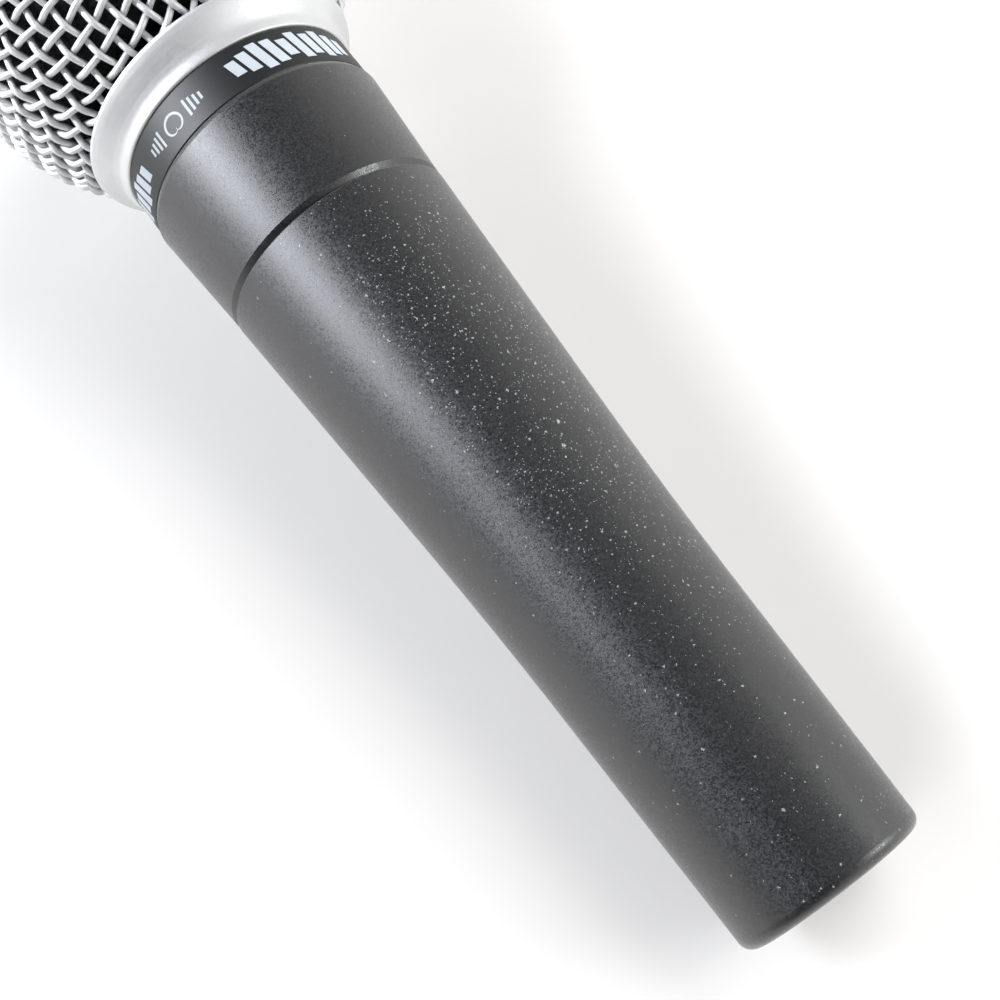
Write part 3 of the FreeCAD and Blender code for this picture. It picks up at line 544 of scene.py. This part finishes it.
def woven_dome(name, pole, azimuth, first_shift, second_shift, low, high):
    """Plain-woven wire dome: two families of crimped wires on the draped net, trimmed at two heights.

    The pole is 1 towards the ball's top and -1 towards the handle. The azimuth turns the weave round the axis
    in degrees, and the shifts move each family across its own wires, in millimetres.
    """
    verts, faces = [], []
    centre = np.array([BALL_CENTRE, 0, 0])
    turn = math.radians(azimuth)
    wires = QUARTER_COUNT // NET_STEPS + 1

    def add_wire(run):
        if len(run) >= SHORTEST_RUN:
            path, normals = zip(*run)
            tube_parts(path, np.array(normals), WIRE_RADIUS, WIRE_SIDES, verts, faces)

    for family in (0, 1):
        shift, other = (first_shift, second_shift) if family == 0 else (second_shift, first_shift)
        over = -1 if family == 0 else 1
        for wire in range(-wires, wires + 1):
            fixed = (wire + shift / WEAVE_PITCH) * NET_STEPS
            run = []
            for step in range(-QUARTER_COUNT, QUARTER_COUNT + 1):
                point = net_point(fixed, step) if family == 0 else net_point(step, fixed)
                if point is not None:
                    phase = math.pi * (wire + (step / NET_STEPS - other / WEAVE_PITCH))
                    crimp = over * WIRE_RADIUS * math.cos(phase)
                    up = point[0] * math.cos(turn) - point[1] * math.sin(turn)
                    side = point[0] * math.sin(turn) + point[1] * math.cos(turn)
                    normal = np.array([pole * point[2], side, up])
                    spot = centre + normal * (NET_RADIUS + crimp)
                    if low <= spot[0] <= high:
                        run.append((spot, normal))
                        continue
                add_wire(run)
                run = []
            add_wire(run)
    return mesh_object(name, to_row(verts), faces, MATERIALS["mesh_wire"])


lower_weave = woven_dome("lower_weave", -1, 24.0, -1.925, -0.205, 117.7, 135.2)
finish_piece(lower_weave, "grille", "mesh_wire", "grille_mesh_lower")
upper_weave = woven_dome("upper_weave", 1, 40.0, 0.0, 0.0, 137.8, 163.0)
finish_piece(upper_weave, "grille", "mesh_wire", "grille_mesh_upper")


# ---- foam behind the wires ----

FOAM_SEED = 7
FOAM_WAVES = 24
FOAM_WAVE_SPREAD = 0.9
FOAM_SWELL = 0.432
FOAM_EASE = 0.25


def foam_shell(name, outer, inner, low, rows=72, columns=144):
    """Thick open-bottomed foam shell whose skin swells unevenly, a little inside its two radii."""
    rng = np.random.default_rng(FOAM_SEED)
    waves = rng.normal(size=(FOAM_WAVES, 3)) * FOAM_WAVE_SPREAD
    phases = rng.uniform(0, 2 * np.pi, FOAM_WAVES)
    centre = np.array([BALL_CENTRE, 0, 0])
    outer_end = math.acos((low - BALL_CENTRE) / outer)
    inner_end = math.acos((low - BALL_CENTRE) / inner)
    profile = [(outer, outer_end * k / rows) for k in range(rows + 1)]
    profile += [(inner, inner_end * (1 - k / rows)) for k in range(rows + 1)]
    verts, faces, rings = [], [], []
    for radius, polar in profile:
        if polar < TINY:
            rings.append([len(verts)])
            verts.append((BALL_CENTRE + radius, 0.0, 0.0))
            continue
        ring = []
        for i in range(columns):
            angle = 2 * np.pi * i / columns
            across = math.sin(polar)
            direction = np.array([math.cos(polar), across * math.sin(angle), across * math.cos(angle)])
            swell = FOAM_SWELL * np.mean(np.cos(waves @ (direction * radius) + phases))
            ring.append(len(verts))
            verts.append(direction * (radius + swell - FOAM_EASE) + centre)
        rings.append(ring)
    for first, second in zip(rings, rings[1:]):
        for i in range(columns):
            after = (i + 1) % columns
            if len(first) == 1:
                faces.append((first[0], second[i], second[after]))
            elif len(second) == 1:
                faces.append((first[i], second[0], first[after]))
            else:
                faces.append((first[i], second[i], second[after], first[after]))
    obj = mesh_object(name, to_row(verts), faces, MATERIALS["foam"])
    face_outwards(obj)
    return obj


foam = foam_shell("foam_liner", 23.6, 20.2, 121.5)
finish_piece(foam, "windscreen", "foam", "foam_windscreen")


# ---- turned pieces: collar, belt, housing, band, rubber boot, diaphragm ----

# closed outlines of (radius, height, fillet) corners, in millimetres
COLLAR = [
    (15.2, 113.45, 0.1), (16.15, 113.45, 0.35), (16.30, 113.95, 0.9), (16.52, 114.75, 3.0),
    (17.02, 115.5, 3.0), (17.68, 116.3, 4.0), (18.24, 117.05, 3.0), (18.60, 117.7, 1.0), (18.62, 118.05, 0.3),
    (18.4, 118.25, 0.3), (18.0, 118.25, 0.1), (17.15, 117.4, 0.1), (15.2, 117.4, 0.1),
]
BELT = [
    (24.3, 133.7, 0.1), (25.25, 133.7, 0.3), (25.42, 134.6, 4.0), (25.5, 135.8, 4.0), (25.5, 137.2, 4.0),
    (25.42, 138.4, 4.0), (25.25, 139.3, 0.3), (24.3, 139.3, 0.1),
]
HOUSING = [
    (13.5, 91.6, 0.1), (14.7, 91.6, 0.05), (15.17, 92.3, 0.08), (16.22, 106.8, 0.8), (15.99, 107.36, 0.4),
    (15.86, 107.5, 0.1), (15.55, 107.5, 0), (15.55, 113.35, 0), (14.9, 113.35, 0.05), (14.9, 117.2, 0.3),
    (13.0, 117.2, 0.2), (13.0, 102.0, 0.1), (6.0, 102.0, 0.2), (6.0, 99.6, 0.2), (13.5, 99.6, 0.1),
]
BAND = [
    (15.55, 107.5, 0), (15.87, 107.5, 0.05), (15.97, 107.62, 0.1), (15.97, 113.23, 0.1),
    (15.87, 113.35, 0.05), (15.55, 113.35, 0),
]
BOOT = [
    (9.0, 103.2, 0.1), (10.1, 103.2, 0.3), (10.1, 105.4, 0.8), (11.4, 106.7, 0.9), (11.4, 109.4, 0.9),
    (10.1, 110.6, 0.8), (10.1, 112.2, 0.5), (12.95, 112.5, 0.3), (12.95, 115.6, 0.4), (9.0, 115.6, 0.3),
]
DIAPHRAGM = [
    (0.0, 134.0, 0), (3.6, 133.4, 3.0), (6.2, 132.0, 0.1), (6.8, 132.3, 0.2), (7.2, 132.75, 0.4),
    (8.0, 132.95, 0.6), (8.8, 132.75, 0.4), (9.2, 132.2, 0.2), (9.5, 132.0, 0.1), (9.5, 132.12, 0),
    (9.3, 132.12, 0.1), (8.8, 132.87, 0.4), (8.0, 133.07, 0.6), (7.2, 132.87, 0.4), (6.8, 132.42, 0.2),
    (6.2, 132.12, 0.1), (3.6, 133.52, 3.0), (0.0, 134.12, 0),
]

for name, corners, body, slot, node in (
    ("grille_collar_turned", COLLAR, "grille", "satin_nickel", "grille_collar"),
    ("grille_belt_turned", BELT, "grille", "satin_nickel", "grille_belt"),
    ("housing_turned", HOUSING, "housing", "housing_enamel", "cartridge_housing"),
    ("name_band_turned", BAND, "housing", "band_print", "name_band"),
    ("rubber_boot", BOOT, "housing", "mount_rubber", "shock_mount"),
    ("diaphragm_film", DIAPHRAGM, "moving_coil", "diaphragm_film", "diaphragm"),
):
    finish_piece(lathe(name, filleted(corners), MATERIALS[slot], turns=288), body, slot, node)


# ---- screw threads and wiring ----

THREAD_STEPS = 96
THREAD_SINK = 0.03
THREAD_KEEL = 0.28
THREAD_RUN_OUT = 0.4
THREAD_FOOT = 0.46
THREAD_CREST = 0.10
THREAD_CORNERS = 5


def thread(name, radius, depth, pitch, low, high, material):
    """Helical thread ridge whose two ends run out into the cylinder.

    Its section has a crest, two feet just below the cylinder's surface and a keel deeper in the wall.
    """
    turns = (high - low) / pitch
    steps = int(turns * THREAD_STEPS)
    foot = radius - THREAD_SINK
    keel = radius - THREAD_KEEL
    verts, faces = [], []
    for i in range(steps + 1):
        s = i / steps
        angle = 2 * math.pi * turns * s
        rise = depth * min(1.0, s * turns / THREAD_RUN_OUT, (1 - s) * turns / THREAD_RUN_OUT)
        crest = radius + rise if rise > 0 else foot
        height = low + (high - low) * s
        for drop, r in ((-THREAD_FOOT, foot), (-THREAD_CREST, crest), (THREAD_CREST, crest),
                        (THREAD_FOOT, foot), (0.0, keel)):
            verts.append((height + drop * pitch, r * math.sin(angle), r * math.cos(angle)))
    for i in range(steps):
        a, b = i * THREAD_CORNERS, (i + 1) * THREAD_CORNERS
        for k in range(THREAD_CORNERS):
            after = (k + 1) % THREAD_CORNERS
            faces.append((a + k, a + after, b + after, b + k))
    faces.append(list(range(THREAD_CORNERS)))
    faces.append([steps * THREAD_CORNERS + k for k in reversed(range(THREAD_CORNERS))])
    obj = mesh_object(name, to_row(verts), faces, material, sharp_angle=25)
    face_outwards(obj)
    return obj


neck_thread = thread("neck_thread", 13.2, 0.2, 0.9, 92.6, 98.2, MATERIALS["handle_enamel"])
finish_piece(neck_thread, "handle", "handle_enamel")
spigot_thread = thread("spigot_thread", 14.9, 0.2, 0.8, 114.1, 116.7, MATERIALS["housing_enamel"])
finish_piece(spigot_thread, "housing", "housing_enamel")


def smooth_path(points, steps=14):
    """Catmull-Rom curve through given points, with the given number of steps between each two."""
    pts = np.array(points, float)
    padded = np.vstack([2 * pts[0] - pts[1], pts, 2 * pts[-1] - pts[-2]])
    out = []
    for i in range(1, len(padded) - 2):
        a, b, c, d = padded[i - 1:i + 3]
        for k in range(steps):
            s = k / steps
            out.append(0.5 * (2 * b + (c - a) * s + (2 * a - 5 * b + 4 * c - d) * s ** 2
                              + (3 * b - 3 * c + d - a) * s ** 3))
    out.append(pts[-1])
    return np.array(out)


LEAD_RADIUS = 0.55
LEAD_SIDES = 14
LEAD_REFERENCE = (0.31, 0.24, 0.92)  # a direction that no stretch of a lead follows
LEAD_LOW, LEAD_HIGH = 62.25, 102.55
LEAD_REACH = LEAD_HIGH - LEAD_LOW


def wire_lead(name, points, slot):
    """Insulated lead through (height, side, up) points."""
    path = smooth_path(points)
    verts, faces = [], []
    tube_parts(path, np.tile(LEAD_REFERENCE, (len(path), 1)), LEAD_RADIUS, LEAD_SIDES, verts, faces)
    return mesh_object(name, to_row(verts), faces, MATERIALS[slot])


def lead_route(half):
    """Slack route from the transformer to the cartridge; half is -1 in the upper half of the bore, else 1."""
    route = [(0.0, 3.5, 0.0), (0.22, 5.6, 2.6), (0.45, 2.4, -3.4 * half), (0.70, 4.4, 3.0), (0.90, 2.8, 0.8),
             (1.0, 3.4, 0.0)]
    return [(LEAD_LOW + share * LEAD_REACH, side, -half * out) for share, out, side in route]


for name, slot, half in (("capsule_wire_1", "lead_yellow", -1), ("capsule_wire_2", "lead_green", 1)):
    lead = wire_lead(name, lead_route(half), slot)
    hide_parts(name.replace("wire", "lead"))
    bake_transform(lead)


# ---- printed marks on the band ----

BAND_RADIUS = 15.97
BAND_MIDDLE = 110.43
INK_SINK = 0.004
INK_THICKNESS = 0.018


def printed(name, shapes):
    """Thin raised ink on the band from grids of (arc, height) millimetres, each closed into a solid."""
    verts, faces = [], []
    for grid in shapes:
        rows, columns = len(grid), len(grid[0])
        for layer in (0.0, INK_THICKNESS):
            radius = BAND_RADIUS - INK_SINK + layer
            for row in grid:
                for arc, height in row:
                    angle = arc / BAND_RADIUS
                    verts.append((BAND_MIDDLE + height, radius * math.sin(angle), radius * math.cos(angle)))
        base = len(verts) - 2 * rows * columns
        top = base + rows * columns
        for i in range(rows - 1):
            for k in range(columns - 1):
                a = i * columns + k
                quad = (a, a + 1, a + columns + 1, a + columns)
                faces.append([top + q for q in quad])
                faces.append([base + q for q in reversed(quad)])
        border = list(range(columns)) + [i * columns + columns - 1 for i in range(1, rows)]
        border += [(rows - 1) * columns + k for k in range(columns - 2, -1, -1)]
        border += [i * columns for i in range(rows - 2, 0, -1)]
        for k, here in enumerate(border):
            after = border[(k + 1) % len(border)]
            faces.append((base + here, base + after, top + after, top + here))
    obj = mesh_object(name, to_row(verts), faces, MATERIALS["mark_ink"], smooth=False)
    face_outwards(obj)
    finish_piece(obj, "housing", "band_print")


def bar(left, width, low, high, slant=0.0):
    """Upright bar as a small grid, leaning by the slant."""
    grid = []
    for height in np.linspace(low, high, 4):
        lean = slant * height
        grid.append([(left + lean + width * k / 3, height) for k in range(4)])
    return grid


def level_bars(centre, heights, width, gap, slant):
    """Row of upright bars of the given heights, centred on an arc position."""
    total = len(heights) * width + (len(heights) - 1) * gap
    bars = []
    for k, height in enumerate(heights):
        left = centre - total / 2 + k * (width + gap)
        bars.append(bar(left, width, -height / 2, height / 2, slant))
    return bars


CURVE_STEPS = 48
CURVE_RIBBONS = 4
CARDIOID_FLOOR = 1.12
CARDIOID_DROP = 0.42


def pickup_curve(centre, size, line):
    """Heart-shaped pickup pattern drawn as a closed line, split into short ribbons."""
    pieces = []
    ribbon = CURVE_STEPS // CURVE_RIBBONS
    for start in range(0, CURVE_STEPS, ribbon):
        inner, outer = [], []
        for step in range(start, start + ribbon + 1):
            turn = 2 * math.pi * step / CURVE_STEPS
            reach = size * (CARDIOID_FLOOR + math.cos(turn)) / (CARDIOID_FLOOR + 1)
            for row, length in ((inner, reach - line), (outer, reach)):
                row.append((centre + length * math.sin(turn), length * math.cos(turn) - size * CARDIOID_DROP))
        pieces.append([inner, outer])
    return pieces


def band_arc(degrees):
    """Length along the band from its upper side."""
    return math.radians(degrees) * BAND_RADIUS


BAR_HEIGHTS = [2.2, 3.0, 4.0, 3.2, 4.1, 2.6, 3.7, 4.1, 3.0, 2.2]
BARS_ANGLE = -40.5
SIGN_ANGLE = 22.5
SIGN_SIZE = 2.2
LINE_WIDTH = 0.34
TICK_DISTANCES = (2.5, 3.2, 3.9, 4.6)

marks = []
for third in (0, 120, 240):
    marks += level_bars(band_arc(third + BARS_ANGLE), BAR_HEIGHTS, width=1.30, gap=0.46, slant=0.26)
    middle = band_arc(third + SIGN_ANGLE)
    marks += pickup_curve(middle, SIGN_SIZE, LINE_WIDTH)
    for distance in TICK_DISTANCES:
        half_height = 1.9 - 0.3 * distance
        for way in (-1, 1):
            left = middle + way * distance - LINE_WIDTH / 2
            marks.append(bar(left, LINE_WIDTH, -half_height, half_height))
printed("band_marks", marks)


# ---- floor, lights, camera ----

FLOOR_HALF = 3
FLOOR_DEEP = (0.885, 0.88, 0.87)
FLOOR_PALE = (0.90, 0.895, 0.885)


def stage_floor():
    """Large sheet of matt white paper under the microphone."""
    corners = [(x * FLOOR_HALF, y * FLOOR_HALF, 0) for x, y in ((-1, -1), (1, -1), (1, 1), (-1, 1))]
    floor = mesh_object("floor", corners, [(0, 1, 2, 3)], smooth=False)
    material, nodes, links, shader = new_material("floor_paper")
    drift = remap(nodes, links, noise(nodes, links, 0.02, 4.0), *NOISE_SPAN)
    links.new(mix_colour(nodes, links, drift, FLOOR_DEEP, FLOOR_PALE), shader.inputs["Base Color"])
    shader.inputs["Roughness"].default_value = 0.75
    shader.inputs["Specular IOR Level"].default_value = 0.2
    bump(nodes, links, shader, noise(nodes, links, 1.5, 3.0), 0.01)
    floor.data.materials.append(material)


LIGHT_TARGET_HEIGHT = 75


def area_light(name, elevation, azimuth, distance, size, power, colour, lights="all"):
    """Soft box aimed at the middle of the microphone; it can light only matt or only glossy reflection.

    The elevation and azimuth are in degrees, the distance and size in metres and the power in watts.
    """
    light = bpy.data.lights.new(name, "AREA")
    light.shape = "RECTANGLE"
    light.size, light.size_y = size
    light.energy = power
    light.color = colour
    obj = bpy.data.objects.new(name, light)
    bpy.context.scene.collection.objects.link(obj)
    obj.visible_diffuse = lights != "gloss"
    obj.visible_glossy = lights != "matt"
    el, az = math.radians(elevation), math.radians(azimuth)
    direction = Vector((math.cos(el) * math.cos(az), math.cos(el) * math.sin(az), math.sin(el)))
    obj.location = place(LIGHT_TARGET_HEIGHT) + direction * distance
    obj.rotation_euler = (-direction).to_track_quat("-Z", "Y").to_euler()


KEY_COLOUR = (0.89, 0.92, 1.0)


def lamps():
    """Key box from +Y, stronger in gloss than on matt surfaces, a small low box from -Y, and two fills."""
    area_light("key_box", 46, 47, 0.8, (0.36, 0.30), 3.2, KEY_COLOUR)
    area_light("key_sheen", 46, 47, 0.8, (0.36, 0.30), 12.2, KEY_COLOUR, "gloss")
    area_light("side_box", 14, -122, 0.7, (0.20, 0.18), 1.6, (0.97, 0.98, 1.0))
    area_light("fill_box", 40, -80, 0.9, (0.9, 0.7), 8.0, (1.0, 0.99, 0.98), "matt")
    area_light("floor_fill", 35, 110, 0.9, (0.9, 0.7), 4.5, (1.0, 0.985, 0.965), "matt")


ROOM_COLOUR = (1.0, 0.996, 0.988, 1.0)
GLOW_DIRECTION = (-0.25, -0.60, 0.76)
VIEWER_DIRECTION = (-0.70, 0.36, 0.62)
BESIDE_VIEWER_DIRECTION = (-0.55, 0.78, 0.30)
WINDOW_DIRECTION = (0.55, 0.83, 0.05)


def room():
    """Pale walls under a dark ceiling, with two brighter patches and the dark shape of a bystander."""
    world = bpy.data.worlds.new("studio")
    bpy.context.scene.world = world
    world.use_nodes = True
    nodes, links = world.node_tree.nodes, world.node_tree.links
    background = nodes["Background"]
    direction = nodes.new("ShaderNodeTexCoord").outputs["Generated"]
    split = nodes.new("ShaderNodeSeparateXYZ")
    links.new(direction, split.inputs[0])
    walls = remap(nodes, links, split.outputs["Z"], 0.15, 0.80, 1.16, 0.06, smooth=True)
    above = dot(nodes, links, direction, GLOW_DIRECTION)
    glow = remap(nodes, links, above, 0.70, 1.0, 0.0, 0.38, smooth=True)
    viewer = dot(nodes, links, direction, VIEWER_DIRECTION)
    upper_shade = remap(nodes, links, viewer, 0.74, 0.93, 1.0, 0.22, smooth=True)
    beside = dot(nodes, links, direction, BESIDE_VIEWER_DIRECTION)
    lower_shade = remap(nodes, links, beside, 0.84, 0.96, 1.0, 0.25, smooth=True)
    shade = math_node(nodes, links, "MULTIPLY", upper_shade, lower_shade)
    window = dot(nodes, links, direction, WINDOW_DIRECTION)
    daylight = remap(nodes, links, window, 0.80, 1.0, 0.0, 0.50, smooth=True)
    lit = math_node(nodes, links, "ADD", math_node(nodes, links, "ADD", walls, glow), daylight)
    links.new(math_node(nodes, links, "MULTIPLY", lit, shade), background.inputs["Strength"])
    background.inputs["Color"].default_value = ROOM_COLOUR
    bpy.context.scene.view_settings.view_transform = "Standard"


CAMERA_ALONG = 12.2
CAMERA_HEIGHT = 165.88
FOCAL_LENGTH = 53.97
SENSOR_WIDTH = 36.0

# the camera's own axes, as (along, side, up) of the microphone
CAMERA_RIGHT = (-0.5901, -0.7897, -0.1684)
CAMERA_UP = (0.7668, -0.6134, 0.1892)
CAMERA_BACK = (-0.2527, -0.0175, 0.9675)


def camera():
    """Camera above the tail end, looking nearly straight down and a little towards the head."""
    data = bpy.data.cameras.new("camera")
    data.sensor_width = SENSOR_WIDTH
    data.lens = FOCAL_LENGTH
    data.clip_start = 0.01
    obj = bpy.data.objects.new("camera", data)
    bpy.context.scene.collection.objects.link(obj)
    basis = Matrix((AXIS, SIDE, UP)).transposed()
    turn = Matrix([basis @ Vector(axis) for axis in (CAMERA_RIGHT, CAMERA_UP, CAMERA_BACK)]).transposed()
    obj.matrix_world = Matrix.Translation(place(CAMERA_ALONG, CAMERA_HEIGHT)) @ turn.to_4x4()
    bpy.context.scene.camera = obj


stage_floor()
lamps()
room()
camera()
